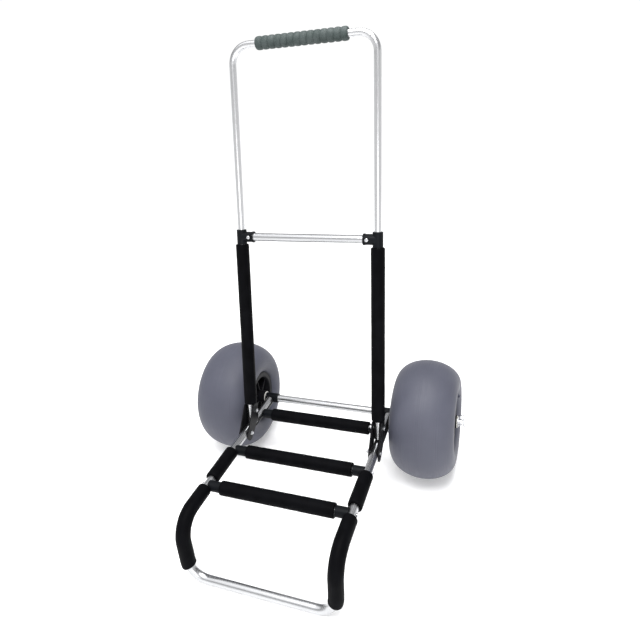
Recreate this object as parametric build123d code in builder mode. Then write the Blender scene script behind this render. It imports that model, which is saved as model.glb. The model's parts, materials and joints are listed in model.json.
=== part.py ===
from build123d import *
from math import cos, radians, sin, sqrt
import os

# A folding two-wheel beach cart. The toe points to -Y, the right-hand side is +X
# and the ground is Z = 0. All sizes are in millimetres.

# ---------------------------------------------------------------- overall layout
WHEEL_R = 165.0
WHEEL_X = 299.0
AXLE_Y = 192.7  # puts the origin under the middle of the overall length
AXLE_Z = WHEEL_R

# ---------------------------------------------------------------- tubes
TUBE_R = 11.0
TUBE_BORE_R = 9.8
SLEEVE_BORE_R = 11.05
FOAM_R = 18.0
FOAM_BORE_R = 11.1
FOAM_EDGE_R = 3.0

# ---------------------------------------------------------------- lower frame
RAIL_X = 190.0
RAIL_REAR = 15.0
TOE_X = 184.0
TOE_Z = TUBE_R
TOE_AHEAD = 533.5
BEND_AHEAD = 528.5
BEND_R = 58.0
TOE_CORNER_R = 50.0

# Cross members: name, distance ahead of the axle, drop below the rail centre.
CROSS_MEMBERS = (("rear", 79.0, 4.0), ("middle", 254.0, 4.0), ("front", 399.0, 0.5))
CROSS_TUBE_HALF = 167.0
CROSS_PAD_HALF = 150.0
SADDLE_R = 13.5
SADDLE_INNER = 151.0
SADDLE_TIP = 184.0
SADDLE_GAP = 0.3
RAIL_PAD_FROM = 268.5
RAIL_PAD_TO = 377.0
TOE_PAD_FROM = 413.0
TOE_PAD_CORNER_PART = 0.2

# ---------------------------------------------------------------- axle
AXLE_R = 9.0
AXLE_HALF = 399.0
AXLE_TUBE_HALF = 201.0
AXLE_FITTING_INNER = 165.0
AXLE_FITTING_OUTER = 204.0
AXLE_FITTING_R = 14.5
CRADLE_R = 13.8
CRADLE_REAR = 12.0
CRADLE_FRONT = 135.0
CRADLE_TAPER = 16.0
FITTING_SCREW_AHEAD = 30.0
FITTING_SCREW_R = 2.0
FITTING_SCREW_LENGTH = 12.0
FITTING_SCREW_HEAD_R = 4.0
FITTING_SCREW_HEAD = 2.4
RAIL_PLUG_LENGTH = 36.0
WASHER_R = 15.0
INNER_WASHER = 1.5
OUTER_WASHER = 2.0
RUNNING_BORE_R = 9.05
CLIP_X = 391.5
CLIP_WIRE_R = 1.6
CLIP_HOLE_R = 1.9
CLIP_EYE_R = 5.4
CLIP_LEG_BELOW = 17.0
CLIP_LEG_ABOVE = 19.0

# ---------------------------------------------------------------- folding back frame
BACK_LEAN = 10.0
PIVOT_AHEAD = 180.0
UPRIGHT_BEHIND = 38.0
UPRIGHT_FOOT = 22.0
UPRIGHT_HEAD = 576.0
UPRIGHT_PAD_FOOT = 74.0
UPRIGHT_PAD_HEAD = 540.6
BRACKET_BOLT_UP = 52.0
BRACKET_HALF = 14.5
BRACKET_PLATE = 3.0
BRACKET_WEB_BACK = 53.0
BRACKET_HEAD = 72.0
CROSSBAR_UP = 561.0
CROSSBAR_HALF = 175.5
TOP_FITTING_FOOT = 541.0
TOP_FITTING_HEAD = 580.5
TOP_FITTING_R = 13.5
TOP_SOCKET_R = 14.0
TOP_SOCKET_INNER = 153.0
RIVET_X = 164.0
BUSH_FOOT = 518.0
BUSH_FLANGE = 1.8

# ---------------------------------------------------------------- sliding handle
HANDLE_R = 9.0
HANDLE_BORE_R = 7.8
HANDLE_CORNER_R = 46.0
HANDLE_UP = 1048.0
HANDLE_FOOT = 515.0
GUIDE_HEAD_LENGTH = 38.0
GUIDE_SHANK_LENGTH = 24.0
GUIDE_R = 9.7
GRIP_R = 16.5
GRIP_HALF = 120.0

# ---------------------------------------------------------------- fasteners
BOLT_R = 3.0
BOLT_HOLE_R = 3.15
HEX_ACROSS_CORNERS_R = 5.8
BOLT_HEAD_HEIGHT = 4.0
NUT_HEIGHT = 6.0
PAN_HEAD_R = 5.2
PAN_HEAD_HEIGHT = 3.2
RIVET_SHANK_R = 2.4
RIVET_HEAD_R = 4.8

# ---------------------------------------------------------------- wheel
TYRE_HALF_WIDTH = 87.0
TYRE_WIDEST_R = 108.0
TYRE_WALL = 4.0
TYRE_SEAT_HALF = 71.0
TYRE_BORE_R = 62.0
HUB_FLANGE_R = 77.0
HUB_FLANGE = 4.0
HUB_WALL = 4.0
HUB_BOSS_R = 18.5
HUB_BOSS_BORE_R = 12.5
HUB_OUTER_BOSS_END = 84.0
HUB_INNER_BOSS_END = 91.0
HUB_WEB_AT = 46.0
HUB_SCREW_CIRCLE_R = 39.0
HUB_RIBS = 6
HUB_POST_R = 6.0
HUB_SCREW_R = 2.5
HUB_SCREW_HEAD_R = 4.6
HUB_SCREW_HEAD = 3.2
HUB_SCREW_LENGTH = 70.0
HUB_RIB = 3.0
BUSH_HEAD = 1.6
BUSH_DEPTH = 30.0
VALVE_R = 88.0
VALVE_FOOT_R = 6.0
VALVE_STEM_R = 2.6
VALVE_STEM = 7.0
VALVE_CAP_R = 4.0

# ---------------------------------------------------------------- derived places
LEAN_SIN = sin(radians(BACK_LEAN))
LEAN_COS = cos(radians(BACK_LEAN))


def ahead(distance):
    """Y of a point this far in front of the axle."""
    return AXLE_Y - distance


def back_point(x, behind, up):
    """A point in the back frame: behind the fold pivot, and up along its lean."""
    y = ahead(PIVOT_AHEAD) + behind * LEAN_COS + up * LEAN_SIN
    z = AXLE_Z - behind * LEAN_SIN + up * LEAN_COS
    return (x, y, z)


def lean_plane(x, behind, up):
    """A section plane across an upright, facing up along the lean."""
    return Plane(origin=back_point(x, behind, up), x_dir=(1, 0, 0), z_dir=(0, LEAN_SIN, LEAN_COS))


def back_side_plane(x):
    """The back frame seen from the side: local X is behind, local Y is up."""
    return Plane(origin=back_point(x, 0, 0), x_dir=(0, LEAN_COS, -LEAN_SIN), z_dir=(1, 0, 0))


def back_face_plane():
    """The plane through both uprights: local X is across, local Y is up."""
    origin = back_point(0, UPRIGHT_BEHIND, 0)
    return Plane(origin=origin, x_dir=(1, 0, 0), z_dir=(0, -LEAN_COS, LEAN_SIN))


def across_plane(x, y, z):
    """A section plane across a piece that runs along X."""
    return Plane(origin=(x, y, z), x_dir=(0, 1, 0), z_dir=(1, 0, 0))


def wheel_plane():
    """Half a section through the right wheel: local X is outward, local Y is radius."""
    return Plane(origin=(WHEEL_X, AXLE_Y, AXLE_Z), x_dir=(1, 0, 0), z_dir=(0, -1, 0))


def wheel_axis():
    return Axis((WHEEL_X, AXLE_Y, AXLE_Z), (1, 0, 0))


def round_bar(plane, radius, length, mode=Mode.ADD):
    """A round bar, or a round hole, that starts on a plane and runs along its normal."""
    with Locations(plane):
        Cylinder(radius, length, align=(Align.CENTER, Align.CENTER, Align.MIN), mode=mode)


def hex_bar(plane, corner_radius, length):
    """A hexagonal head or nut that starts on a plane."""
    with BuildSketch(plane) as outline:
        RegularPolygon(corner_radius, 6)
    extrude(outline.sketch, amount=length)


def save(piece, node):
    piece.label = node
    export_step(piece, f"parts/{node}.step")


def save_pair(right_piece, node):
    """Write a right-hand piece and its mirror image."""
    left_piece = mirror(right_piece, about=Plane.YZ)
    save(right_piece, f"{node}_right")
    save(left_piece, f"{node}_left")


def save_both(right_piece, node):
    """Write a right-hand fastener and its mirror image in one node."""
    left_piece = mirror(right_piece, about=Plane.YZ)
    solids = list(right_piece.solids()) + list(left_piece.solids())
    save(Compound(children=solids), node)


# ================================================================ lower frame
def frame_route():
    """Centreline of the U-shaped frame: rail, leg, toe bar, leg, rail."""
    rear, bend, toe = ahead(RAIL_REAR), ahead(BEND_AHEAD), ahead(TOE_AHEAD)
    with BuildLine() as route:
        FilletPolyline(
            (-RAIL_X, rear, AXLE_Z),
            (-RAIL_X, bend, AXLE_Z),
            (-TOE_X, toe, TOE_Z),
            (TOE_X, toe, TOE_Z),
            (RAIL_X, bend, AXLE_Z),
            (RAIL_X, rear, AXLE_Z),
            radius=(BEND_R, TOE_CORNER_R, TOE_CORNER_R, BEND_R),
        )
    return route.wire()


def make_base_frame():
    route = frame_route()
    with BuildPart() as base_frame:
        with BuildSketch(Plane(origin=route @ 0, x_dir=(1, 0, 0), z_dir=route % 0)):
            Circle(TUBE_R)
            Circle(TUBE_BORE_R, mode=Mode.SUBTRACT)
        sweep(path=route)
        for side in (-1, 1):
            hole_start = side * RAIL_X - TUBE_R - 1
            hole_length = 2 * TUBE_R + 2
            for _, distance, drop in CROSS_MEMBERS:
                hole = across_plane(hole_start, ahead(distance), AXLE_Z - drop)
                round_bar(hole, BOLT_HOLE_R, hole_length, Mode.SUBTRACT)
            pivot_hole = across_plane(hole_start, ahead(PIVOT_AHEAD), AXLE_Z)
            round_bar(pivot_hole, BOLT_HOLE_R, hole_length, Mode.SUBTRACT)
            screw_hole = Plane(origin=(side * RAIL_X, ahead(FITTING_SCREW_AHEAD), AXLE_Z - TUBE_R - 1))
            round_bar(screw_hole, FITTING_SCREW_R + 0.1, 3, Mode.SUBTRACT)
    save(base_frame.part, "base_frame")


def make_cross_member(name, distance, drop):
    """A cross tube, its foam pad and the two saddles that bolt it between the rails."""
    y, z = ahead(distance), AXLE_Z - drop
    with BuildPart() as cross_tube:
        with BuildSketch(across_plane(-CROSS_TUBE_HALF, y, z)):
            Circle(TUBE_R)
            Circle(TUBE_BORE_R, mode=Mode.SUBTRACT)
        extrude(amount=2 * CROSS_TUBE_HALF)
    save(cross_tube.part, f"cross_tube_{name}")

    with BuildPart() as cross_pad:
        with BuildSketch(across_plane(-CROSS_PAD_HALF, y, z)):
            Circle(FOAM_R)
            Circle(FOAM_BORE_R, mode=Mode.SUBTRACT)
        extrude(amount=2 * CROSS_PAD_HALF)
        fillet(outer_end_edges(cross_pad), FOAM_EDGE_R)
    save(cross_pad.part, f"cross_pad_{name}")

    # The rear saddle bears on the cradle under the rail, the others on the rail itself.
    seat_r = (CRADLE_R if distance < CRADLE_FRONT else TUBE_R) + SADDLE_GAP
    with BuildPart() as saddle:
        with BuildSketch(across_plane(SADDLE_INNER, y, z)):
            Circle(SADDLE_R)
        extrude(amount=SADDLE_TIP - SADDLE_INNER)
        fillet(saddle.edges().sort_by(Axis.X)[0], 1.0)
        socket = across_plane(SADDLE_INNER, y, z)
        round_bar(socket, SLEEVE_BORE_R, CROSS_TUBE_HALF + 0.2 - SADDLE_INNER, Mode.SUBTRACT)
        rail = Plane(origin=(RAIL_X, y + 2 * SADDLE_R, AXLE_Z), z_dir=(0, -1, 0))
        round_bar(rail, seat_r, 4 * SADDLE_R, Mode.SUBTRACT)
        round_bar(socket, BOLT_R + 0.05, SADDLE_TIP - SADDLE_INNER, Mode.SUBTRACT)
    save_pair(saddle.part, f"saddle_{name}")


def outer_end_edges(pad):
    """The outer rim at both ends of a straight foam sleeve."""
    rims = pad.edges().filter_by(GeomType.CIRCLE)
    return rims.filter_by(lambda rim: rim.radius > FOAM_BORE_R + 1)


def make_saddle_screws():
    head_at = RAIL_X + TUBE_R + 0.3
    tip_at = CROSS_TUBE_HALF + 2
    with BuildPart() as screws:
        for _, distance, drop in CROSS_MEMBERS:
            y, z = ahead(distance), AXLE_Z - drop
            round_bar(across_plane(tip_at, y, z), BOLT_R, head_at - tip_at)
            clear = CRADLE_R - TUBE_R if distance < CRADLE_FRONT else 0.0
            round_bar(across_plane(head_at, y, z), BOLT_R, clear + 0.01)
            round_bar(across_plane(head_at + clear, y, z), PAN_HEAD_R, PAN_HEAD_HEIGHT)
        rims = screws.edges().filter_by(GeomType.CIRCLE)
        head_rims = rims.filter_by(lambda rim: rim.radius > PAN_HEAD_R - 0.1)
        outer_rims = head_rims.filter_by(lambda rim: rim.center().X > head_at + 2.9)
        fillet(outer_rims, 1.2)
    save_both(screws.part, "saddle_screws")


def make_rail_pad():
    with BuildPart() as rail_pad:
        start = Plane(origin=(RAIL_X, ahead(RAIL_PAD_FROM), AXLE_Z), z_dir=(0, -1, 0))
        with BuildSketch(start):
            Circle(FOAM_R)
            Circle(FOAM_BORE_R, mode=Mode.SUBTRACT)
        extrude(amount=RAIL_PAD_TO - RAIL_PAD_FROM)
        fillet(outer_end_edges(rail_pad), FOAM_EDGE_R)
    save_pair(rail_pad.part, "rail_pad")


def make_toe_pad():
    """Foam sleeve over the bend of the frame, from the rail to the start of the toe corner."""
    edges = frame_route().order_edges()
    rail, bend, leg, corner = edges[-1], edges[-2], edges[-3], edges[-4]
    rail_end = min(rail.vertices(), key=lambda v: v.Y)
    with BuildLine() as route:
        Line((RAIL_X, ahead(TOE_PAD_FROM), AXLE_Z), (rail_end.X, rail_end.Y, rail_end.Z))
        add(bend)
        add(leg)
        corner_top = max(corner.vertices(), key=lambda v: v.Z)
        if (corner @ 0 - Vector(corner_top)).length < 1e-3:
            add(corner.trim(0, TOE_PAD_CORNER_PART))
        else:
            add(corner.trim(1 - TOE_PAD_CORNER_PART, 1))
    path = route.wire()
    with BuildPart() as toe_pad:
        with BuildSketch(Plane(origin=(RAIL_X, ahead(TOE_PAD_FROM), AXLE_Z), z_dir=(0, -1, 0))):
            Circle(FOAM_R)
            Circle(FOAM_BORE_R, mode=Mode.SUBTRACT)
        sweep(path=path)
        fillet(outer_end_edges(toe_pad), FOAM_EDGE_R)
    save_pair(toe_pad.part, "toe_pad")


# ================================================================ axle
def make_axle():
    with BuildPart() as axle_tube:
        with BuildSketch(across_plane(-AXLE_TUBE_HALF, AXLE_Y, AXLE_Z)):
            Circle(TUBE_R)
            Circle(TUBE_BORE_R, mode=Mode.SUBTRACT)
        extrude(amount=2 * AXLE_TUBE_HALF)
    save(axle_tube.part, "axle_tube")

    with BuildPart() as axle_rod:
        with BuildSketch(across_plane(-AXLE_HALF, AXLE_Y, AXLE_Z)):
            Circle(AXLE_R)
        extrude(amount=2 * AXLE_HALF)
        chamfer(axle_rod.edges().filter_by(GeomType.CIRCLE), 1.2)
        for side in (-1, 1):
            hole = Plane(origin=(side * CLIP_X, AXLE_Y, AXLE_Z - AXLE_R - 1))
            round_bar(hole, CLIP_HOLE_R, 2 * AXLE_R + 2, Mode.SUBTRACT)
    save(axle_rod.part, "axle_rod")


def make_axle_fitting():
    """Moulded fitting: a sleeve on the axle tube, a plug in the rail and a cradle under it."""
    sleeve_length = AXLE_FITTING_OUTER - AXLE_FITTING_INNER
    start = across_plane(AXLE_FITTING_INNER, AXLE_Y, AXLE_Z)
    under_rail = Plane(origin=(RAIL_X, ahead(CRADLE_REAR), AXLE_Z), x_dir=(1, 0, 0), z_dir=(0, -1, 0))
    with BuildPart() as fitting:
        round_bar(start, AXLE_FITTING_R, sleeve_length)
        fillet(fitting.edges().filter_by(GeomType.CIRCLE), 1.0)
        # Cradle: the lower half of a sleeve around the rail, cut off at a slant.
        with BuildSketch(under_rail):
            Circle(CRADLE_R)
            Rectangle(2 * CRADLE_R, CRADLE_R, align=(Align.CENTER, Align.MIN), mode=Mode.SUBTRACT)
        extrude(amount=CRADLE_FRONT - CRADLE_REAR)
        with BuildSketch(Plane(origin=(RAIL_X, 0, 0), x_dir=(0, 1, 0), z_dir=(1, 0, 0))):
            with BuildLine():
                Polyline(
                    (ahead(CRADLE_FRONT), AXLE_Z - CRADLE_R),
                    (ahead(CRADLE_FRONT - CRADLE_TAPER), AXLE_Z),
                    (ahead(CRADLE_FRONT + 1), AXLE_Z + 1),
                    (ahead(CRADLE_FRONT + 1), AXLE_Z - CRADLE_R - 1),
                    close=True,
                )
            make_face()
        extrude(amount=2 * CRADLE_R, both=True, mode=Mode.SUBTRACT)
        rail_seat = Plane(origin=(RAIL_X, ahead(RAIL_REAR - 0.3), AXLE_Z), z_dir=(0, -1, 0))
        round_bar(rail_seat, SLEEVE_BORE_R, CRADLE_FRONT, Mode.SUBTRACT)
        plug = Plane(origin=(RAIL_X, AXLE_Y - AXLE_R, AXLE_Z), z_dir=(0, -1, 0))
        round_bar(plug, TUBE_BORE_R - 0.1, RAIL_PLUG_LENGTH)
        round_bar(start, SLEEVE_BORE_R, AXLE_TUBE_HALF + 0.3 - AXLE_FITTING_INNER, Mode.SUBTRACT)
        round_bar(start, RUNNING_BORE_R, sleeve_length, Mode.SUBTRACT)
        screw_hole = Plane(origin=(RAIL_X, ahead(FITTING_SCREW_AHEAD), AXLE_Z - CRADLE_R - 1))
        round_bar(screw_hole, FITTING_SCREW_R + 0.05, 14, Mode.SUBTRACT)
        _, rear_member, drop = CROSS_MEMBERS[0]
        cross_hole = across_plane(RAIL_X - 2 * CRADLE_R, ahead(rear_member), AXLE_Z - drop)
        round_bar(cross_hole, BOLT_HOLE_R, 4 * CRADLE_R, Mode.SUBTRACT)
    save_pair(fitting.part, "axle_fitting")

    with BuildPart() as screw:
        underside = AXLE_Z - CRADLE_R - 0.1
        shank = Plane(origin=(RAIL_X, ahead(FITTING_SCREW_AHEAD), underside))
        round_bar(shank, FITTING_SCREW_R, FITTING_SCREW_LENGTH)
        round_bar(shank.offset(-FITTING_SCREW_HEAD), FITTING_SCREW_HEAD_R, FITTING_SCREW_HEAD)
    save_both(screw.part, "fitting_screws")


def make_axle_washers():
    """Flat washers that take the side load of the wheels, inside and outside each hub."""
    inner_at = AXLE_FITTING_OUTER + 0.2
    outer_at = WHEEL_X + HUB_OUTER_BOSS_END + BUSH_HEAD + 0.4
    with BuildPart() as washers:
        for start, thickness in ((inner_at, INNER_WASHER), (outer_at, OUTER_WASHER)):
            round_bar(across_plane(start, AXLE_Y, AXLE_Z), WASHER_R, thickness)
            round_bar(across_plane(start, AXLE_Y, AXLE_Z), AXLE_R + 0.2, thickness, Mode.SUBTRACT)
    save_both(washers.part, "axle_washers")


def make_wheel_clip():
    """A wire R-clip: one leg through the axle, a round eye, and a leg sprung past the axle end."""
    leg_foot, leg_head = AXLE_Z - CLIP_LEG_BELOW, AXLE_Z + CLIP_LEG_ABOVE
    outer_x = AXLE_HALF + CLIP_WIRE_R + 0.8
    with BuildLine() as wire:
        leg = Line((CLIP_X, AXLE_Y, leg_foot), (CLIP_X, AXLE_Y, leg_head))
        eye = ThreePointArc(
            leg @ 1,
            (CLIP_X + CLIP_EYE_R, AXLE_Y, leg_head + CLIP_EYE_R),
            (CLIP_X + 2 * CLIP_EYE_R, AXLE_Y, leg_head),
        )
        neck = TangentArc(eye @ 1, (outer_x, AXLE_Y, AXLE_Z + 10), tangent=eye % 1)
        spring = TangentArc(neck @ 1, (outer_x, AXLE_Y, AXLE_Z - 7), tangent=(-0.1, 0, -1))
        TangentArc(spring @ 1, (outer_x + 4, AXLE_Y, AXLE_Z - 15), tangent=spring % 1)
    with BuildPart() as clip:
        with BuildSketch(Plane(origin=leg @ 0, z_dir=(0, 0, 1))):
            Circle(CLIP_WIRE_R)
        sweep(path=wire.wire(), transition=Transition.ROUND)
    save_pair(clip.part, "wheel_clip")


# ================================================================ wheels
def tyre_outline(inset):
    """Closed section of the tyre, moved inwards by a wall thickness.

    The tread is half an ellipse, and each flank turns in below it to the hub flange.
    """
    half_width = TYRE_HALF_WIDTH - inset
    seat_x = TYRE_SEAT_HALF - inset
    seat_r = HUB_FLANGE_R + 1 + inset
    bore_r = TYRE_BORE_R + inset
    tread_depth = WHEEL_R - TYRE_WIDEST_R - inset
    flank_width = half_width - seat_x
    flank_depth = TYRE_WIDEST_R - seat_r
    with BuildLine() as outline:
        EllipticalCenterArc((0, TYRE_WIDEST_R), half_width, tread_depth, 0, arc_size=180)
        EllipticalCenterArc((-seat_x, TYRE_WIDEST_R), flank_width, flank_depth, 180, arc_size=90)
        EllipticalCenterArc((seat_x, TYRE_WIDEST_R), flank_width, flank_depth, 270, arc_size=90)
        Polyline((-seat_x, seat_r), (-seat_x, bore_r), (seat_x, bore_r), (seat_x, seat_r))
    return outline.wire()


def make_tyre():
    with BuildPart() as tyre:
        for inset, mode in ((0, Mode.ADD), (TYRE_WALL, Mode.SUBTRACT)):
            with BuildSketch(wheel_plane()) as section:
                add(Face(tyre_outline(inset)))
            revolve(section.sketch, axis=wheel_axis(), mode=mode)
    save_pair(tyre.part, "tyre")


def make_hub_shell(outward, node):
    """One dished half of the plastic hub; outward is 1 for the outer half, -1 for the inner."""
    barrel_r = TYRE_BORE_R - 0.3
    flange_at = TYRE_SEAT_HALF + 0.3
    web_back = HUB_WEB_AT - HUB_WALL
    inner_r = barrel_r - HUB_WALL
    boss_end = HUB_OUTER_BOSS_END if outward > 0 else HUB_INNER_BOSS_END
    with BuildPart() as shell:
        with BuildSketch(wheel_plane()):
            with BuildLine():
                Polyline(
                    (outward * 0.2, barrel_r),
                    (outward * flange_at, barrel_r),
                    (outward * flange_at, HUB_FLANGE_R - 1.5),
                    (outward * (flange_at + 1.5), HUB_FLANGE_R),
                    (outward * (flange_at + HUB_FLANGE - 1.5), HUB_FLANGE_R),
                    (outward * (flange_at + HUB_FLANGE), HUB_FLANGE_R - 1.5),
                    (outward * (flange_at + HUB_FLANGE), inner_r + 5),
                    (outward * (flange_at + HUB_FLANGE - 2), inner_r + 3),
                    (outward * (HUB_WEB_AT + 8), inner_r - 2),
                    (outward * HUB_WEB_AT, inner_r - 9),
                    (outward * HUB_WEB_AT, HUB_BOSS_R + 5),
                    (outward * (HUB_WEB_AT + 8), HUB_BOSS_R + 1),
                    (outward * (boss_end - 1), HUB_BOSS_R),
                    (outward * boss_end, HUB_BOSS_R - 1),
                    (outward * boss_end, HUB_BOSS_BORE_R),
                    (outward * 0.2, HUB_BOSS_BORE_R),
                    (outward * 0.2, HUB_BOSS_R - 2),
                    (outward * web_back, HUB_BOSS_R - 1),
                    (outward * web_back, inner_r - 6),
                    (outward * (web_back + 8), inner_r),
                    (outward * 0.2, inner_r),
                    close=True,
                )
            make_face()
        revolve(axis=wheel_axis())
        add_hub_ribs(outward, inner_r)
    save_pair(shell.part, node)


def add_hub_ribs(outward, inner_r):
    """Radial ribs in the dish, and the screw posts behind the web."""
    spin = 360 / HUB_RIBS
    for number in range(HUB_RIBS):
        angle = radians(spin * number)
        post_angle = angle + radians(spin / 2)
        rib_plane = Plane(origin=(WHEEL_X, AXLE_Y, AXLE_Z), x_dir=(1, 0, 0),
                          z_dir=(0, -cos(angle), -sin(angle)))
        with BuildSketch(rib_plane) as rib:
            with BuildLine():
                Polyline(
                    (outward * (HUB_WEB_AT - 1), HUB_BOSS_R - 2),
                    (outward * (HUB_WEB_AT + 26), HUB_BOSS_R - 2),
                    (outward * (HUB_WEB_AT + 20), inner_r + 2),
                    (outward * (HUB_WEB_AT - 1), inner_r + 2),
                    close=True,
                )
            make_face()
        extrude(rib.sketch, amount=HUB_RIB / 2, both=True)
        y = AXLE_Y - HUB_SCREW_CIRCLE_R * sin(post_angle)
        z = AXLE_Z + HUB_SCREW_CIRCLE_R * cos(post_angle)
        post_start = WHEEL_X + (0.2 if outward > 0 else -HUB_WEB_AT + 1)
        round_bar(across_plane(post_start, y, z), HUB_POST_R, HUB_WEB_AT - 1.2)
        hole_start = WHEEL_X + (0 if outward > 0 else 6 - HUB_WEB_AT)
        round_bar(across_plane(hole_start, y, z), HUB_SCREW_R + 0.05, HUB_WEB_AT + 1, Mode.SUBTRACT)


def make_hub_screws():
    spin = 360 / HUB_RIBS
    head_at = WHEEL_X + HUB_WEB_AT + 0.1
    shank_length = HUB_SCREW_LENGTH
    with BuildPart() as screws:
        for number in range(HUB_RIBS):
            angle = radians(spin * (number + 0.5))
            y = AXLE_Y - HUB_SCREW_CIRCLE_R * sin(angle)
            z = AXLE_Z + HUB_SCREW_CIRCLE_R * cos(angle)
            round_bar(across_plane(head_at - shank_length, y, z), HUB_SCREW_R, shank_length)
            hex_bar(across_plane(head_at, y, z), HUB_SCREW_HEAD_R, HUB_SCREW_HEAD)
    save_pair(screws.part, "hub_screws")


def make_hub_bushes():
    with BuildPart() as bushes:
        for outward, boss_end in ((-1, HUB_INNER_BOSS_END), (1, HUB_OUTER_BOSS_END)):
            with BuildSketch(wheel_plane()):
                with BuildLine():
                    Polyline(
                        (outward * (boss_end - BUSH_DEPTH), RUNNING_BORE_R),
                        (outward * (boss_end - BUSH_DEPTH), HUB_BOSS_BORE_R - 0.05),
                        (outward * (boss_end + 0.1), HUB_BOSS_BORE_R - 0.05),
                        (outward * (boss_end + 0.1), HUB_BOSS_R - 2),
                        (outward * (boss_end + BUSH_HEAD), HUB_BOSS_R - 2),
                        (outward * (boss_end + BUSH_HEAD), RUNNING_BORE_R),
                        close=True,
                    )
                make_face()
            revolve(axis=wheel_axis())
    save_pair(bushes.part, "hub_bushes")


def make_valve():
    """Inflation valve square to the outer flank, above the hub flange, and its push-on cap."""
    width = TYRE_HALF_WIDTH - TYRE_SEAT_HALF
    depth = TYRE_WIDEST_R - HUB_FLANGE_R - 1
    drop = (TYRE_WIDEST_R - VALVE_R) / depth
    reach = sqrt(1 - drop**2)
    foot = (WHEEL_X + TYRE_SEAT_HALF + width * reach, AXLE_Y, AXLE_Z + VALVE_R)
    base = Plane(origin=foot, x_dir=(0, 1, 0), z_dir=(reach / width, 0, -drop / depth)).offset(0.2)
    with BuildPart() as valve:
        round_bar(base, VALVE_FOOT_R, 1.4)
        round_bar(base, VALVE_STEM_R, VALVE_STEM)
        fillet(valve.edges().filter_by(GeomType.CIRCLE).sort_by(SortBy.RADIUS)[-1], 0.5)
    save_pair(valve.part, "tyre_valve")
    with BuildPart() as cap:
        round_bar(base.offset(1.7), VALVE_CAP_R, VALVE_STEM)
        fillet(cap.edges().filter_by(GeomType.CIRCLE).sort_by(Axis.X)[-1], 1.2)
        round_bar(base.offset(1.7), VALVE_STEM_R + 0.15, 5.6, Mode.SUBTRACT)
    save_pair(cap.part, "valve_cap")


# ================================================================ back frame
def make_upright():
    with BuildPart() as upright:
        with BuildSketch(lean_plane(RAIL_X, UPRIGHT_BEHIND, UPRIGHT_FOOT)):
            Circle(TUBE_R)
            Circle(TUBE_BORE_R, mode=Mode.SUBTRACT)
        extrude(amount=UPRIGHT_HEAD - UPRIGHT_FOOT)
        bolt = across_plane(RAIL_X - TUBE_R - 1, *back_point(0, UPRIGHT_BEHIND, BRACKET_BOLT_UP)[1:])
        round_bar(bolt, BOLT_HOLE_R, 2 * TUBE_R + 2, Mode.SUBTRACT)
    save_pair(upright.part, "upright")

    with BuildPart() as upright_pad:
        with BuildSketch(lean_plane(RAIL_X, UPRIGHT_BEHIND, UPRIGHT_PAD_FOOT)):
            Circle(FOAM_R)
            Circle(FOAM_BORE_R, mode=Mode.SUBTRACT)
        extrude(amount=UPRIGHT_PAD_HEAD - UPRIGHT_PAD_FOOT)
        fillet(outer_end_edges(upright_pad), FOAM_EDGE_R)
    save_pair(upright_pad.part, "upright_pad")


def make_pivot_bracket():
    """Folded steel channel that joins an upright to the fold pivot on the rail."""
    with BuildPart() as bracket:
        with BuildSketch(back_side_plane(RAIL_X)):
            with BuildLine():
                CenterArc((0, -6), 17, 0, 360)
                CenterArc((27, BRACKET_HEAD - 6), 6, 0, 360)
                CenterArc((BRACKET_WEB_BACK - 6, BRACKET_HEAD - 6), 6, 0, 360)
                CenterArc((BRACKET_WEB_BACK - 4, 25), 4, 0, 360)
            make_hull()
        extrude(amount=BRACKET_HALF, both=True)
        # The channel is open at the front and closed behind the upright.
        with BuildSketch(back_side_plane(RAIL_X)):
            with Locations((BRACKET_WEB_BACK - BRACKET_PLATE, 0)):
                Rectangle(200, 300, align=(Align.MAX, Align.CENTER))
        extrude(amount=BRACKET_HALF - BRACKET_PLATE, both=True, mode=Mode.SUBTRACT)
        for behind, up in ((0, 0), (UPRIGHT_BEHIND, BRACKET_BOLT_UP)):
            hole = across_plane(RAIL_X - BRACKET_HALF - 1, *back_point(0, behind, up)[1:])
            round_bar(hole, BOLT_HOLE_R, 2 * BRACKET_HALF + 2, Mode.SUBTRACT)
    save_pair(bracket.part, "pivot_bracket")


def make_bracket_fasteners(node, behind, up):
    """A bolt and a lock nut through both plates of a pivot bracket."""
    y, z = back_point(0, behind, up)[1:]
    inner, outer = RAIL_X - BRACKET_HALF - 0.2, RAIL_X + BRACKET_HALF + 0.2
    shank_start = inner - NUT_HEIGHT - 2
    with BuildPart() as bolt:
        round_bar(across_plane(shank_start, y, z), BOLT_R, outer - shank_start)
        hex_bar(across_plane(outer, y, z), HEX_ACROSS_CORNERS_R, BOLT_HEAD_HEIGHT)
    save_both(bolt.part, f"{node}_bolts")
    with BuildPart() as nut:
        hex_bar(across_plane(inner - NUT_HEIGHT + 1.6, y, z), HEX_ACROSS_CORNERS_R, NUT_HEIGHT - 1.6)
        round_bar(across_plane(inner - NUT_HEIGHT, y, z), 4.4, 1.7)
        round_bar(across_plane(inner - NUT_HEIGHT, y, z), BOLT_R + 0.1, NUT_HEIGHT, Mode.SUBTRACT)
    save_both(nut.part, f"{node}_nuts")


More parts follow.
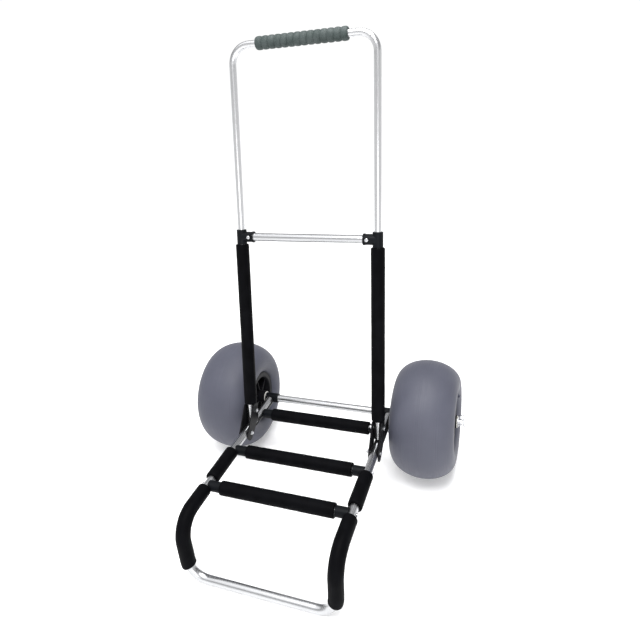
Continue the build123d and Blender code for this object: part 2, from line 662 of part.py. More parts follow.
def make_top_fitting():
    """Moulded tee that joins an upright to the crossbar and guides the handle leg."""
    with BuildPart() as fitting:
        sleeve = lean_plane(RAIL_X, UPRIGHT_BEHIND, TOP_FITTING_FOOT)
        round_bar(sleeve, TOP_FITTING_R, TOP_FITTING_HEAD - TOP_FITTING_FOOT)
        fillet(fitting.edges().filter_by(GeomType.CIRCLE), 0.8)
        y, z = back_point(0, UPRIGHT_BEHIND, CROSSBAR_UP)[1:]
        socket = across_plane(TOP_SOCKET_INNER, y, z)
        round_bar(socket, TOP_SOCKET_R, RAIL_X - TOP_SOCKET_INNER)
        round_bar(socket, TOP_SOCKET_R + 1.2, 4)
        bush_head = UPRIGHT_HEAD + 0.2 + BUSH_FLANGE + 0.1
        round_bar(sleeve, SLEEVE_BORE_R, bush_head - TOP_FITTING_FOOT, Mode.SUBTRACT)
        round_bar(sleeve, HANDLE_R + 0.3, TOP_FITTING_HEAD - TOP_FITTING_FOOT, Mode.SUBTRACT)
        round_bar(socket, SLEEVE_BORE_R, CROSSBAR_HALF + 0.3 - TOP_SOCKET_INNER, Mode.SUBTRACT)
        round_bar(rivet_plane(), RIVET_SHANK_R + 0.1, 6, Mode.SUBTRACT)
    save_pair(fitting.part, "top_fitting")


def rivet_plane():
    """The seat of a rivet on the front of a crossbar socket, facing into the socket."""
    y, z = back_point(0, UPRIGHT_BEHIND - TOP_SOCKET_R - 0.2, CROSSBAR_UP)[1:]
    return Plane(origin=(RIVET_X, y, z), z_dir=(0, LEAN_COS, -LEAN_SIN))


def make_upper_crossbar():
    with BuildPart() as crossbar:
        y, z = back_point(0, UPRIGHT_BEHIND, CROSSBAR_UP)[1:]
        with BuildSketch(across_plane(-CROSSBAR_HALF, y, z)):
            Circle(TUBE_R)
            Circle(TUBE_BORE_R, mode=Mode.SUBTRACT)
        extrude(amount=2 * CROSSBAR_HALF)
        right = rivet_plane()
        left = Plane(origin=(-RIVET_X, right.origin.Y, right.origin.Z), z_dir=right.z_dir)
        for seat in (left, right):
            round_bar(seat, RIVET_SHANK_R + 0.1, 6, Mode.SUBTRACT)
    save(crossbar.part, "upper_crossbar")

    with BuildPart() as rivet:
        round_bar(rivet_plane(), RIVET_SHANK_R, 5.5)
        round_bar(rivet_plane().offset(-2.2), RIVET_HEAD_R, 2.2)
        rims = rivet.edges().filter_by(GeomType.CIRCLE)
        fillet(rims.filter_by(lambda rim: rim.radius > RIVET_HEAD_R - 0.1).sort_by(Axis.Y)[0], 1.4)
    save_both(rivet.part, "crossbar_rivets")


def make_slide_bush():
    """Nylon bush in the top of an upright, in which the handle leg slides."""
    with BuildPart() as bush:
        foot = lean_plane(RAIL_X, UPRIGHT_BEHIND, BUSH_FOOT)
        round_bar(foot, TUBE_BORE_R - 0.05, UPRIGHT_HEAD - BUSH_FOOT + 0.2)
        round_bar(foot.offset(UPRIGHT_HEAD - BUSH_FOOT + 0.2), TUBE_R - 0.2, BUSH_FLANGE)
        round_bar(foot, RUNNING_BORE_R, UPRIGHT_HEAD - BUSH_FOOT + 0.2 + BUSH_FLANGE, Mode.SUBTRACT)
    save_pair(bush.part, "slide_bush")


# ================================================================ handle
def make_handle():
    with BuildPart() as handle_tube:
        with BuildLine(back_face_plane()) as route:
            FilletPolyline(
                (-RAIL_X, HANDLE_FOOT),
                (-RAIL_X, HANDLE_UP),
                (RAIL_X, HANDLE_UP),
                (RAIL_X, HANDLE_FOOT),
                radius=HANDLE_CORNER_R,
            )
        with BuildSketch(lean_plane(-RAIL_X, UPRIGHT_BEHIND, HANDLE_FOOT)):
            Circle(HANDLE_R)
            Circle(HANDLE_BORE_R, mode=Mode.SUBTRACT)
        sweep(path=route.wire())
    save(handle_tube.part, "handle_tube")

    with BuildPart() as handle_grip:
        y, z = back_point(0, UPRIGHT_BEHIND, HANDLE_UP)[1:]
        with BuildSketch(across_plane(-GRIP_HALF, y, z)):
            Circle(GRIP_R)
            Circle(HANDLE_R + 0.1, mode=Mode.SUBTRACT)
        extrude(amount=2 * GRIP_HALF)
        rims = handle_grip.edges().filter_by(GeomType.CIRCLE)
        fillet(rims.filter_by(lambda rim: rim.radius > GRIP_R - 0.1), 3.0)
    save(handle_grip.part, "handle_grip")

    with BuildPart() as guide:
        head = lean_plane(RAIL_X, UPRIGHT_BEHIND, HANDLE_FOOT - GUIDE_HEAD_LENGTH)
        round_bar(head, GUIDE_R, GUIDE_HEAD_LENGTH - 0.2)
        round_bar(head, HANDLE_BORE_R - 0.1, GUIDE_HEAD_LENGTH + GUIDE_SHANK_LENGTH)
    save_both(guide.part, "handle_leg_guides")


def main():
    os.makedirs("parts", exist_ok=True)
    make_base_frame()
    for name, distance, drop in CROSS_MEMBERS:
        make_cross_member(name, distance, drop)
    make_saddle_screws()
    make_rail_pad()
    make_toe_pad()
    make_axle()
    make_axle_fitting()
    make_axle_washers()
    make_wheel_clip()
    make_tyre()
    make_hub_shell(1, "hub_outer_shell")
    make_hub_shell(-1, "hub_inner_shell")
    make_hub_screws()
    make_hub_bushes()
    make_valve()
    make_upright()
    make_pivot_bracket()
    make_bracket_fasteners("pivot", 0, 0)
    make_bracket_fasteners("bracket", UPRIGHT_BEHIND, BRACKET_BOLT_UP)
    make_top_fitting()
    make_upper_crossbar()
    make_slide_bush()
    make_handle()


main()
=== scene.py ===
import json
from math import cos, pi, radians, sin, sqrt, tan

import bpy
from mathutils import Matrix, Vector, noise


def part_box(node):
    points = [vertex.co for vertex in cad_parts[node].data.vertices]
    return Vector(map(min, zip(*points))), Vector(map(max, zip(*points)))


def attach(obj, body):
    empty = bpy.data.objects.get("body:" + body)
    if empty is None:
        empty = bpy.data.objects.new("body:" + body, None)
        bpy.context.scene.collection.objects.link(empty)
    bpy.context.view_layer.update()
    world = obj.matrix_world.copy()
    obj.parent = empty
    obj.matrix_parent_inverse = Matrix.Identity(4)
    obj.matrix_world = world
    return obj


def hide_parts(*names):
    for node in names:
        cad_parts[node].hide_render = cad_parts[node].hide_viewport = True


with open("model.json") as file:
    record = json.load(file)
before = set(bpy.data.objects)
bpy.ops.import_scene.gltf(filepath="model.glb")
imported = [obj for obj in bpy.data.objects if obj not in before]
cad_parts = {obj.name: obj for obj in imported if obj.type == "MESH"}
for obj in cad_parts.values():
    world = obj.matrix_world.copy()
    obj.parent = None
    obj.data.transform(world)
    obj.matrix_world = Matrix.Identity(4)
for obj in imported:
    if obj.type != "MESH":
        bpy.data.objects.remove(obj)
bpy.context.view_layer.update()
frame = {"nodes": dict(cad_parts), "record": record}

# ---------------------------------------------------------------- sizes of the built pieces
X, Y, Z = 0, 1, 2


def middle(node, axis):
    """The middle of a CAD node along an axis, to a tenth of a millimetre."""
    low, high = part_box(node)
    return round((low[axis] + high[axis]) / 2, 4)


def half_size(node, axis):
    """Half of a CAD node's size along an axis, from its size to a tenth of a millimetre."""
    low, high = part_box(node)
    return round(high[axis] - low[axis], 4) / 2


# Read from the frame.
AXLE_Y = middle("axle_rod", Y)
AXLE_Z = middle("axle_rod", Z)
RAIL_X = middle("rail_pad_right", X)
FOAM_R = half_size("rail_pad_right", X)
CROSS_PAD_HALF = half_size("cross_pad_rear", X)
WHEEL_X = middle("tyre_right", X)
WHEEL_R = AXLE_Z
TYRE_HALF_WIDTH = half_size("tyre_right", X)
GRIP_R = half_size("handle_grip", Y)
GRIP_HALF = half_size("handle_grip", X)

# Foam sleeves: the bore, the rounded ends, and the run of each from the axle or the fold pivot.
FOAM_BORE_R = 0.0111
FOAM_EDGE_R = 0.003
RAIL_PAD_FROM = 0.2685
RAIL_PAD_TO = 0.377
TOE_PAD_FROM = 0.413
BEND = Vector((RAIL_X, AXLE_Y - 0.5285, AXLE_Z))
TOE = Vector((0.184, AXLE_Y - 0.5335, 0.011))
BEND_R = 0.058
TOE_CORNER_R = 0.050
TOE_PAD_CORNER_PART = 0.2
CORNER_STEPS = 24
LEAN = radians(10)
PIVOT_AHEAD = 0.180
UPRIGHT_BEHIND = 0.038
UPRIGHT_PAD_FOOT = 0.074
UPRIGHT_PAD_HEAD = 0.5406
CREASE_DEPTH = 0.0011
CREASE_PITCH = 0.0082
CREASE_RUN_OUT = 0.004

# Grip: ribs round the handle.
HANDLE_UP = 1.048
GRIP_GROOVE_R = 0.0134
GRIP_END_R = 0.0128
GRIP_BORE_R = 0.0091
GRIP_RIBS = 14

# Tyre: radius of the widest place, the seat on the hub, and the lines left by the mould.
TYRE_WIDEST_R = 0.108
TYRE_SEAT_HALF = 0.071
TYRE_SEAT_R = 0.078
TYRE_BORE_R = 0.062
SEAM_HEIGHT = 0.00040
SEAM_HALF = 0.0011
TREAD_LINES = (0.008, 0.044, 0.050)
TREAD_LINE_DEPTH = 0.00030
TREAD_LINE_HALF = 0.0013

# Fineness of the meshes.
STEP = 0.002
AROUND = 72
TYRE_AROUND = 288
RIB_STEPS = 22
TREAD_STEPS = 110
FLANK_STEPS = 26


def back_point(x, behind, up):
    """A point in the leaning back frame: behind the fold pivot, and up along its lean."""
    y = AXLE_Y - PIVOT_AHEAD + behind * cos(LEAN) + up * sin(LEAN)
    z = AXLE_Z - behind * sin(LEAN) + up * cos(LEAN)
    return Vector((x, y, z))


# ---------------------------------------------------------------- mesh building
def add_mesh(name, points, quads, uvs, sharp_rings, around):
    """A smooth object from a grid of quads; uvs holds one pair per face corner, in metres."""
    mesh = bpy.data.meshes.new(name)
    mesh.from_pydata(points, [], quads)
    layer = mesh.uv_layers.new(name="metres")
    layer.data.foreach_set("uv", uvs)
    mesh.polygons.foreach_set("use_smooth", [True] * len(quads))
    for edge in mesh.edges:
        first, second = edge.vertices[0] // around, edge.vertices[1] // around
        if first == second and first in sharp_rings:
            edge.use_edge_sharp = True
    mesh.update()
    piece = bpy.data.objects.new(name, mesh)
    bpy.context.scene.collection.objects.link(piece)
    return piece


def ring_body(name, rings, lengths, around, girth, sharp_rings):
    """A closed body of revolution or sleeve from rings of points that wrap back to the first."""
    count = len(rings)
    points = [tuple(point) for ring in rings for point in ring]
    quads = []
    uvs = []
    for i in range(count):
        j = (i + 1) % count
        u0, u1 = lengths[i], lengths[i + 1]
        for k in range(around):
            m = (k + 1) % around
            quads.append((i * around + k, j * around + k, j * around + m, i * around + m))
            v0, v1 = k * girth / around, (k + 1) * girth / around
            uvs += [u0, v0, u1, v0, u1, v1, u0, v1]
    return add_mesh(name, points, quads, uvs, sharp_rings, around)


class Route:
    """A centre line through points, with a turning frame carried along it."""

    def __init__(self, points):
        self.points = points
        self.at = [0.0]
        for a, b in zip(points, points[1:]):
            self.at.append(self.at[-1] + (b - a).length)
        self.length = self.at[-1]
        ends = [self.points[0]] + self.points + [self.points[-1]]
        self.tangents = [(ends[i + 2] - ends[i]).normalized() for i in range(len(points))]
        side = Vector((1, 0, 0)) if abs(self.tangents[0].x) < 0.9 else Vector((0, 1, 0))
        self.sides = []
        for tangent in self.tangents:
            side = (side - tangent * side.dot(tangent)).normalized()
            self.sides.append(side.copy())

    def frame(self, distance):
        """(point, side, other side) at a distance along the centre line."""
        distance = min(max(distance, 0.0), self.length)
        i = 0
        while i < len(self.at) - 2 and self.at[i + 1] < distance:
            i += 1
        part = (distance - self.at[i]) / (self.at[i + 1] - self.at[i])
        point = self.points[i].lerp(self.points[i + 1], part)
        tangent = self.tangents[i].lerp(self.tangents[i + 1], part).normalized()
        side = self.sides[i].lerp(self.sides[i + 1], part)
        side = (side - tangent * side.dot(tangent)).normalized()
        return point, side, tangent.cross(side)


def round_corner(before, corner, after, radius):
    """Points of the arc of a radius that blends the two straight runs at a corner."""
    back, on = (before - corner).normalized(), (after - corner).normalized()
    half = back.angle(on) / 2
    middle = (back + on).normalized()
    centre = corner + middle * (radius / sin(half))
    start = corner + back * (radius / tan(half))
    turn = pi - 2 * half
    out, along = (start - centre).normalized(), -back
    points = []
    for i in range(CORNER_STEPS + 1):
        part = turn * i / CORNER_STEPS
        points.append(centre + out * (radius * cos(part)) + along * (radius * sin(part)))
    return points


def foam_skin(point, depth):
    """Slow unevenness of an extruded foam sleeve, in metres."""
    slow = noise.noise(point * 38.0) * 0.00022
    return slow + noise.noise(point * 150.0) * 0.00006 - depth


def foam_sleeve(name, route, body, crease=None):
    """A foam sleeve with rounded ends and a bore, swept along a route."""
    stations = []
    for i in range(7):
        turn = pi / 2 * i / 6
        r = FOAM_R - FOAM_EDGE_R + FOAM_EDGE_R * sin(turn)
        stations.append((FOAM_EDGE_R * (1 - cos(turn)), r))
    count = max(2, round((route.length - 2 * FOAM_EDGE_R) / STEP))
    span = (route.length - 2 * FOAM_EDGE_R) / count
    outer = stations + [(FOAM_EDGE_R + span * i, FOAM_R) for i in range(1, count)]
    outer += [(route.length - s, r) for s, r in reversed(stations)]
    bore = [(route.length * (1 - i / 24), FOAM_BORE_R) for i in range(25)]
    profile = [(s, r, True) for s, r in outer] + [(s, r, False) for s, r in bore]
    rings = []
    lengths = [0.0]
    for index, (s, r, skin) in enumerate(profile):
        point, side, other = route.frame(s)
        ring = []
        for k in range(AROUND):
            turn = 2 * pi * k / AROUND
            out = side * cos(turn) + other * sin(turn)
            reach = r
            if skin:
                depth = crease(s, out) if crease else 0.0
                fade = min(1.0, (r - FOAM_R + FOAM_EDGE_R) / FOAM_EDGE_R + 0.2)
                reach += foam_skin(point + out * r, depth) * fade
            ring.append(point + out * reach)
        rings.append(ring)
        after = profile[(index + 1) % len(profile)]
        lengths.append(lengths[-1] + sqrt((after[0] - s) ** 2 + (after[1] - r) ** 2))
    sharp = (len(outer), len(profile) - 1)
    piece = ring_body(name, rings, lengths, AROUND, 2 * pi * FOAM_R, sharp)
    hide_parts(name.replace("foam_", ""))
    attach(piece, body)
    return piece


def straight(a, b):
    count = 12
    return Route([a.lerp(b, i / count) for i in range(count + 1)])


def toe_route(sign):
    """The run of a toe sleeve: rail, bend, leg and the start of the toe corner."""
    def place(point):
        return Vector((sign * point.x, point.y, point.z))

    rail_start = Vector((RAIL_X, AXLE_Y - TOE_PAD_FROM, AXLE_Z))
    bend = round_corner(rail_start, BEND, TOE, BEND_R)
    corner = round_corner(BEND, TOE, Vector((0.0, TOE.y, TOE.z)), TOE_CORNER_R)
    kept = corner[: 1 + round(CORNER_STEPS * TOE_PAD_CORNER_PART)]
    points = [rail_start.lerp(bend[0], i / 6) for i in range(6)] + bend
    points += [bend[-1].lerp(kept[0], i / 8) for i in range(1, 8)] + kept
    return Route([place(point) for point in points]), (bend[0] - rail_start).length


def toe_crease(start):
    """Shallow folds of the foam on the inside of the bend."""
    run = BEND_R * pi / 2

    def depth(s, out):
        part = (s - start + CREASE_RUN_OUT) / (run + 2 * CREASE_RUN_OUT)
        if part <= 0 or part >= 1:
            return 0.0
        turn = pi / 2 * min(max((s - start) / run, 0.0), 1.0)
        inward = Vector((0.0, sin(turn), -cos(turn)))
        facing = max(0.0, out.dot(inward))
        wave = 0.5 - 0.5 * cos(2 * pi * (s / CREASE_PITCH + 0.25 * sin(s * 310.0)))
        return CREASE_DEPTH * sin(pi * part) * facing ** 1.6 * wave ** 2
    return depth


# ---------------------------------------------------------------- foam sleeves
foam = []
for place in ("rear", "middle", "front"):
    y, z = middle(f"cross_pad_{place}", Y), middle(f"cross_pad_{place}", Z)
    run = straight(Vector((-CROSS_PAD_HALF, y, z)), Vector((CROSS_PAD_HALF, y, z)))
    foam.append(foam_sleeve(f"foam_cross_pad_{place}", run, "base"))
for end, sign in (("left", -1), ("right", 1)):
    rail = sign * RAIL_X
    rear = Vector((rail, AXLE_Y - RAIL_PAD_FROM, AXLE_Z))
    front = Vector((rail, AXLE_Y - RAIL_PAD_TO, AXLE_Z))
    foam.append(foam_sleeve(f"foam_rail_pad_{end}", straight(rear, front), "base"))
    toe, bend_start = toe_route(sign)
    foam.append(foam_sleeve(f"foam_toe_pad_{end}", toe, "base", toe_crease(bend_start)))
    foot = back_point(rail, UPRIGHT_BEHIND, UPRIGHT_PAD_FOOT)
    head = back_point(rail, UPRIGHT_BEHIND, UPRIGHT_PAD_HEAD)
    foam.append(foam_sleeve(f"foam_upright_pad_{end}", straight(foot, head), "back_frame"))


# ---------------------------------------------------------------- turned pieces
def turned(name, profile, centre, around, bulge, sharp=()):
    """A body of revolution about X from (x, radius) points that wrap back to the first."""
    rings = []
    lengths = [0.0]
    for index, (x, r) in enumerate(profile):
        ring = []
        for k in range(around):
            turn = 2 * pi * k / around
            out = Vector((0.0, cos(turn), sin(turn)))
            ring.append(centre + Vector((x, 0, 0)) + out * (r + bulge(x, r, out)))
        rings.append(ring)
        after = profile[(index + 1) % len(profile)]
        lengths.append(lengths[-1] + sqrt((after[0] - x) ** 2 + (after[1] - r) ** 2))
    widest = max(r for x, r in profile)
    return ring_body(name, rings, lengths, around, 2 * pi * widest, sharp)


def make_grip():
    pitch = 2 * GRIP_HALF / GRIP_RIBS
    last = GRIP_RIBS * RIB_STEPS
    outer = []
    for i in range(last + 1):
        x = -GRIP_HALF + pitch * i / RIB_STEPS
        across = abs(2 * ((i % RIB_STEPS) / RIB_STEPS) - 1)
        crown = (1 - across ** 2.6) ** 0.7
        r = GRIP_GROOVE_R + (GRIP_R - GRIP_GROOVE_R) * crown
        outer.append((x, GRIP_END_R if i in (0, last) else r))
    bore = [(GRIP_HALF * (1 - i / 6), GRIP_BORE_R) for i in range(13)]
    profile = outer + bore

    def bulge(x, r, out):
        if r < GRIP_END_R - 0.0005:
            return 0.0
        return noise.noise(Vector((x * 60, out.y * 1.3, out.z * 1.3))) * 0.00025

    centre = back_point(0.0, UPRIGHT_BEHIND, HANDLE_UP)
    sharp = (len(outer) - 1, len(outer), len(profile) - 1, 0)
    grip = turned("ribbed_grip", profile, centre, AROUND, bulge, sharp)
    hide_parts("handle_grip")
    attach(grip, "handle")
    return grip


def tyre_profile():
    """(x, radius) round the balloon section: tread, flanks, seat and bore."""
    depth = WHEEL_R - TYRE_WIDEST_R
    fall = TYRE_WIDEST_R - TYRE_SEAT_R
    right = []
    for i in range(TREAD_STEPS + 1):
        turn = pi / 2 * (1 - i / TREAD_STEPS)
        right.append((TYRE_HALF_WIDTH * cos(turn), TYRE_WIDEST_R + depth * sin(turn)))
    for i in range(1, FLANK_STEPS + 1):
        turn = pi / 2 * i / FLANK_STEPS
        width = (TYRE_HALF_WIDTH - TYRE_SEAT_HALF) * cos(turn)
        right.append((TYRE_SEAT_HALF + width, TYRE_WIDEST_R - fall * sin(turn)))
    right.append((TYRE_SEAT_HALF, TYRE_BORE_R))
    left = [(-x, r) for x, r in reversed(right[1:])]
    return right + left


def tyre_relief(x, r, out):
    """Mould seam, faint tread lines and slow unevenness."""
    if r < TYRE_SEAT_R + 0.001:
        return 0.0
    rise = SEAM_HEIGHT * max(0.0, 1 - abs(x) / SEAM_HALF)
    if r > TYRE_WIDEST_R:
        for line in TREAD_LINES:
            rise -= TREAD_LINE_DEPTH * max(0.0, 1 - abs(abs(x) - line) / TREAD_LINE_HALF)
    spot = Vector((x * 14, out.y * 2.2, out.z * 2.2))
    return rise + noise.noise(spot) * 0.00055


tyres = []
for end, sign in (("left", -1), ("right", 1)):
    centre = Vector((sign * WHEEL_X, AXLE_Y, AXLE_Z))
    section = tyre_profile()
    tyre = turned(f"balloon_tyre_{end}", section, centre, TYRE_AROUND, tyre_relief)
    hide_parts(f"tyre_{end}")
    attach(tyre, f"wheel_{end}")
    tyres.append(tyre)
grip = make_grip()


# ---------------------------------------------------------------- materials
class Shader:
    """A node material with a few short ways to wire it. Noise scales are in cells per metre."""

    def __init__(self, name, colour, rough, metal=0.0):
        self.material = bpy.data.materials.new(name)
        self.material.use_nodes = True
        self.tree = self.material.node_tree
        self.tree.nodes.clear()
        self.out = self.tree.nodes.new("ShaderNodeOutputMaterial")
        self.surface = self.tree.nodes.new("ShaderNodeBsdfPrincipled")
        self.tree.links.new(self.surface.outputs["BSDF"], self.out.inputs["Surface"])
        self.set("Base Color", (*colour, 1.0))
        self.set("Roughness", rough)
        self.set("Metallic", metal)

    def set(self, socket, value):
        self.surface.inputs[socket].default_value = value

    def link(self, source, target):
        self.tree.links.new(source, target)

    def coords(self, kind):
        """Object coordinates, or UV: metres along and round a built piece."""
        node = self.tree.nodes.new("ShaderNodeTexCoord")
        return node.outputs[kind]

    def stretched(self, source, scale, turn=(0.0, 0.0, 0.0)):
        """Coordinates turned about the origin and then scaled along each axis."""
        turned_by = self.tree.nodes.new("ShaderNodeMapping")
        turned_by.vector_type = "POINT"
        turned_by.inputs["Rotation"].default_value = turn
        self.link(source, turned_by.inputs["Vector"])
        scaled = self.tree.nodes.new("ShaderNodeVectorMath")
        scaled.operation = "MULTIPLY"
        scaled.inputs[1].default_value = scale
        self.link(turned_by.outputs["Vector"], scaled.inputs[0])
        return scaled.outputs["Vector"]

    def noise(self, vector, scale, detail=3.0, rough=0.5):
        node = self.tree.nodes.new("ShaderNodeTexNoise")
        node.inputs["Scale"].default_value = scale
        node.inputs["Detail"].default_value = detail
        node.inputs["Roughness"].default_value = rough
        self.link(vector, node.inputs["Vector"])
        return node.outputs["Fac"]

    def between(self, factor, low, high):
        """A value that follows the middle stretch of a noise, where most of it lies."""
        node = self.tree.nodes.new("ShaderNodeMapRange")
        node.inputs["From Min"].default_value = 0.3
        node.inputs["From Max"].default_value = 0.7
        node.inputs["To Min"].default_value = low
        node.inputs["To Max"].default_value = high
        self.link(factor, node.inputs["Value"])
        return node.outputs["Result"]

    def shade(self, factor, dark, light):
        node = self.tree.nodes.new("ShaderNodeMix")
        node.data_type = "RGBA"
        node.inputs[6].default_value = (*dark, 1.0)
        node.inputs[7].default_value = (*light, 1.0)
        self.link(factor, node.inputs[0])
        return node.outputs[2]

    def colour(self, factor, dark, light):
        """The base colour follows a noise from dark to light."""
        mixed = self.shade(self.between(factor, 0.0, 1.0), dark, light)
        self.link(mixed, self.surface.inputs["Base Color"])

    def roughness(self, factor, smooth, dull):
        self.link(self.between(factor, smooth, dull), self.surface.inputs["Roughness"])

    def bump(self, height, strength, distance, under=None):
        node = self.tree.nodes.new("ShaderNodeBump")
        node.inputs["Strength"].default_value = strength
        node.inputs["Distance"].default_value = distance
        self.link(height, node.inputs["Height"])
        if under is not None:
            self.link(under, node.inputs["Normal"])
        self.link(node.outputs["Normal"], self.surface.inputs["Normal"])
        return node.outputs["Normal"]

    def soft_edges(self, radius):
        node = self.tree.nodes.new("ShaderNodeBevel")
        node.samples = 6
        node.inputs["Radius"].default_value = radius
        self.link(node.outputs["Normal"], self.surface.inputs["Normal"])
        return node.outputs["Normal"]


def foam_material():
    s = Shader("black foam sleeve", (0.011, 0.011, 0.013), 0.52)
    uv = s.coords("UV")
    fine = s.noise(uv, 1700.0, 4.0, 0.6)
    streaks = s.noise(s.stretched(uv, (22.0, 620.0, 1.0)), 1.0, 3.0, 0.6)
    slow = s.noise(uv, 26.0, 2.0)
    s.colour(slow, (0.0015, 0.0015, 0.0019), (0.0030, 0.0031, 0.0040))
    s.roughness(streaks, 0.44, 0.60)
    s.set("Specular IOR Level", 0.022)
    first = s.bump(streaks, 0.25, 0.00025)
    s.bump(fine, 0.35, 0.00012, first)
    return s.material


def grip_material():
    s = Shader("ribbed grip", (0.115, 0.135, 0.132), 0.62)
    uv = s.coords("UV")
    fine = s.noise(uv, 1500.0, 4.0, 0.6)
    slow = s.noise(uv, 40.0, 3.0)
    s.colour(slow, (0.026, 0.037, 0.035), (0.052, 0.064, 0.063))
    s.roughness(fine, 0.55, 0.70)
    s.set("Specular IOR Level", 0.25)
    s.bump(fine, 0.4, 0.00012)
    return s.material


def tyre_material():
    s = Shader("grey balloon tyre", (0.150, 0.155, 0.195), 0.5)
    spot = s.coords("Object")
    slow = s.noise(spot, 9.0, 3.0)
    fine = s.noise(spot, 1400.0, 3.0, 0.6)
    scuffs = s.noise(s.stretched(s.coords("UV"), (260.0, 14.0, 1.0)), 1.0, 4.0, 0.65)
    s.colour(slow, (0.057, 0.0592, 0.079), (0.069, 0.0715, 0.094))
    s.roughness(scuffs, 0.46, 0.58)
    s.set("Specular IOR Level", 0.25)
    first = s.bump(scuffs, 0.12, 0.0002)
    s.bump(fine, 0.25, 0.0001, first)
    return s.material


def drawn_material(name, colour, scale, turn=(0.0, 0.0, 0.0)):
    """Satin drawn tube: fine lines run along the tube, across which the scale is largest."""
    s = Shader(name, colour, 0.26, 1.0)
    spot = s.stretched(s.coords("Object"), scale, turn)
    lines = s.noise(spot, 1.0, 4.0, 0.65)
    slow = s.noise(s.coords("Object"), 20.0, 3.0)
    s.roughness(lines, 0.20, 0.34)
    dull = tuple(0.95 * c for c in colour)
    s.colour(slow, dull, colour)
    s.bump(lines, 0.05, 0.0001)
    return s.material


def moulded_material(name, dark, light, rough, grain, edges=0.0006):
    s = Shader(name, dark, rough)
    spot = s.coords("Object")
    fine = s.noise(spot, grain, 3.0, 0.6)
    slow = s.noise(spot, 55.0, 3.0)
    s.colour(slow, dark, light)
    s.roughness(fine, rough - 0.06, rough + 0.06)
    s.set("Specular IOR Level", 0.07)
    s.bump(fine, 0.35, 0.00012, s.soft_edges(edges))
    return s.material


def plated_material(name, colour, rough):
    s = Shader(name, colour, rough, 1.0)
    spot = s.coords("Object")
    fine = s.noise(spot, 900.0, 3.0, 0.6)
    slow = s.noise(spot, 120.0, 3.0)
    dull = tuple(0.82 * c for c in colour)
    s.colour(slow, dull, colour)
    s.roughness(slow, rough - 0.05, rough + 0.09)
    s.bump(fine, 0.12, 0.00008, s.soft_edges(0.0004))
    return s.material


ALUMINIUM = (0.47, 0.475, 0.485)
# The same aluminium painted lighter for the uprights and handle tube: painted light, not a
# different metal.
ALUMINIUM_PAINTED_LIGHTER = (0.56, 0.565, 0.575)
# Scales of the drawing lines, in cells per metre: fine across the tube and long along it.
FINE = 900.0
LONG = 9.0
along_x = drawn_material("aluminium along X", ALUMINIUM, (LONG, FINE, FINE))
along_y = drawn_material("aluminium along Y", ALUMINIUM, (FINE, LONG, FINE))
# The leaning tubes take the lighter copy of the aluminium, painted light that brightens them.
along_lean_painted_lighter = drawn_material(
    "aluminium along the lean painted lighter", ALUMINIUM_PAINTED_LIGHTER, (FINE, FINE, LONG), (LEAN, 0.0, 0.0)
)
plastic = moulded_material(
    "black moulding", (0.0030, 0.0036, 0.0046), (0.0052, 0.0060, 0.0076), 0.40, 1500.0
)
hub = moulded_material(
    "hub moulding", (0.005, 0.005, 0.006), (0.008, 0.008, 0.010), 0.42, 1300.0, edges=0.001
)
nylon = moulded_material(
    "natural nylon", (0.68, 0.67, 0.62), (0.76, 0.75, 0.70), 0.40, 1100.0
)
black_steel = moulded_material(
    "powder coated steel", (0.005, 0.005, 0.006), (0.008, 0.008, 0.009), 0.38, 700.0
)
valve = moulded_material(
    "valve rubber", (0.058, 0.060, 0.080), (0.070, 0.073, 0.095), 0.6, 1200.0
)
plated = plated_material("zinc plate", (0.66, 0.67, 0.69), 0.24)
foam_look = foam_material()
grip_look = grip_material()
tyre_look = tyre_material()

SLOT_MATERIALS = {
    "aluminium_tube": along_x,
    "black_foam": foam_look,
    "grip_foam": grip_look,
    "grey_tyre": tyre_look,
    "black_plastic": plastic,
    "hub_plastic": hub,
    "nylon": nylon,
    "black_steel": black_steel,
    "valve_rubber": valve,
    "plated_steel": plated,
}
# Tubes that don't run along X take the same metal with its lines turned. The tubes along the lean
# take a copy of it painted lighter, which is painted light.
TUBE_MATERIALS = {
    "base_frame": along_y,
    "handle_tube": along_lean_painted_lighter,
    "upright_left": along_lean_painted_lighter,
    "upright_right": along_lean_painted_lighter,
}
for piece in foam:
    piece.data.materials.append(foam_look)
for piece in tyres:
    piece.data.materials.append(tyre_look)
grip.data.materials.append(grip_look)
for entry in frame["record"]["subparts"]:
    name = entry["node"]
    node = frame["nodes"][name]
    node.data.materials.clear()
    node.data.materials.append(TUBE_MATERIALS.get(name, SLOT_MATERIALS[entry["material_slot"]]))

# ---------------------------------------------------------------- floor, light and camera
floor_mesh = bpy.data.meshes.new("studio_floor")
far = 60.0
floor_corners = [(-far, -far, 0), (far, -far, 0), (far, far, 0), (-far, far, 0)]
floor_mesh.from_pydata(floor_corners, [], [(0, 1, 2, 3)])
floor = bpy.data.objects.new("studio_floor", floor_mesh)
floor.location.z = -0.0003
bpy.context.scene.collection.objects.link(floor)
paper = Shader("pale floor", (0.90, 0.90, 0.90), 0.85)
paper.set("Specular IOR Level", 0.1)
paper.set("Emission Color", (1.0, 1.0, 1.0, 1.0))
paper.set("Emission Strength", 0.24)
grain = paper.noise(paper.coords("Object"), 30.0, 3.0)
tone = paper.shade(grain, (0.89, 0.89, 0.89), (0.91, 0.91, 0.91))
paper.link(tone, paper.surface.inputs["Base Color"])
floor_mesh.materials.append(paper.material)

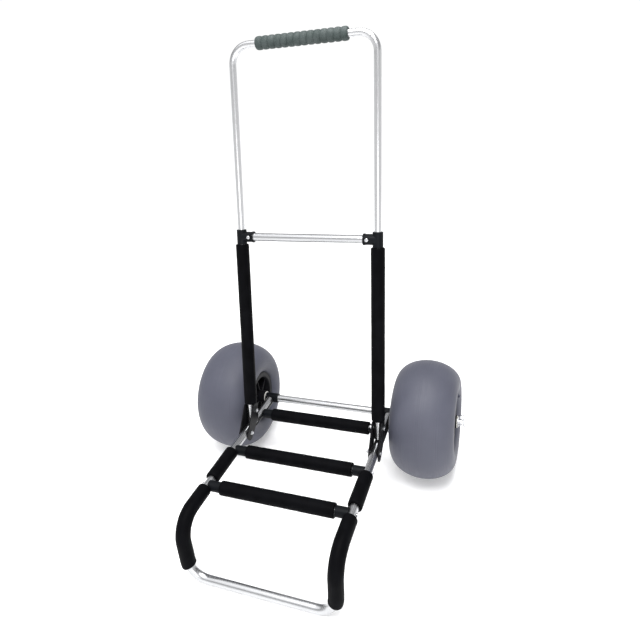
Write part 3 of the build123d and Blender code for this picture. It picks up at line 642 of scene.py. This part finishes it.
world = bpy.data.worlds.new("studio")
bpy.context.scene.world = world
world.use_nodes = True
tree = world.node_tree
tree.nodes.clear()
world_out = tree.nodes.new("ShaderNodeOutputWorld")
sky = tree.nodes.new("ShaderNodeBackground")
direction = tree.nodes.new("ShaderNodeTexCoord")
split = tree.nodes.new("ShaderNodeSeparateXYZ")
tones = tree.nodes.new("ShaderNodeValToRGB")
tree.links.new(direction.outputs["Generated"], split.inputs["Vector"])
tree.links.new(split.outputs["Z"], tones.inputs["Fac"])
tree.links.new(tones.outputs["Color"], sky.inputs["Color"])
tree.links.new(sky.outputs["Background"], world_out.inputs["Surface"])
stops = tones.color_ramp.elements
stops[0].position = 0.20
stops[0].color = (1.0, 1.0, 1.0, 1.0)
stops[1].position = 0.42
stops[1].color = (0.42, 0.42, 0.43, 1.0)
top = stops.new(0.95)
top.color = (0.62, 0.62, 0.63, 1.0)
sky.inputs["Strength"].default_value = 1.03


def soft_light(name, place, aim, width, height, power):
    lamp = bpy.data.lights.new(name, "AREA")
    lamp.shape = "RECTANGLE"
    lamp.size = width
    lamp.size_y = height
    lamp.energy = power
    holder = bpy.data.objects.new(name, lamp)
    holder.location = place
    holder.rotation_euler = (Vector(aim) - Vector(place)).to_track_quat("-Z", "Y").to_euler()
    bpy.context.scene.collection.objects.link(holder)
    return holder


soft_light("key", (0.3, -1.3, 3.1), (0.0, 0.1, 0.45), 1.5, 1.1, 75.0)
soft_light("top", (0.4, 0.3, 3.2), (0.1, 0.2, 0.3), 1.4, 1.4, 55.0)
soft_light("front", (1.1, -3.4, 0.9), (0.0, 0.0, 0.6), 2.4, 1.6, 32.0)
sun = bpy.data.lights.new("soft sun", "SUN")
sun.energy = 1.15
sun.angle = radians(70)
sun_holder = bpy.data.objects.new("soft sun", sun)
sun_holder.rotation_euler = (radians(18), radians(-14), 0.0)
bpy.context.scene.collection.objects.link(sun_holder)

view_turn, view_drop, view_roll = radians(21.3036), radians(21.2764), radians(-5.1366)
ahead = Vector((-sin(view_turn) * cos(view_drop), cos(view_turn) * cos(view_drop), -sin(view_drop)))
level = Vector((cos(view_turn), sin(view_turn), 0.0))
upward = level.cross(ahead)
right = level * cos(view_roll) + upward * sin(view_roll)
up = upward * cos(view_roll) - level * sin(view_roll)
lens = bpy.data.cameras.new("photo_view")
lens.sensor_width = 36.0
lens.lens = 30.199
lens.shift_x = 0.0047
lens.shift_y = -0.0597
lens.clip_end = 200.0
camera = bpy.data.objects.new("photo_view", lens)
turned_to = Matrix((right, up, -ahead)).transposed().to_4x4()
camera.matrix_world = Matrix.Translation((0.5055, -1.1043, 1.1119)) @ turned_to
bpy.context.scene.collection.objects.link(camera)
bpy.context.scene.camera = camera
bpy.context.scene.view_settings.view_transform = "Standard"
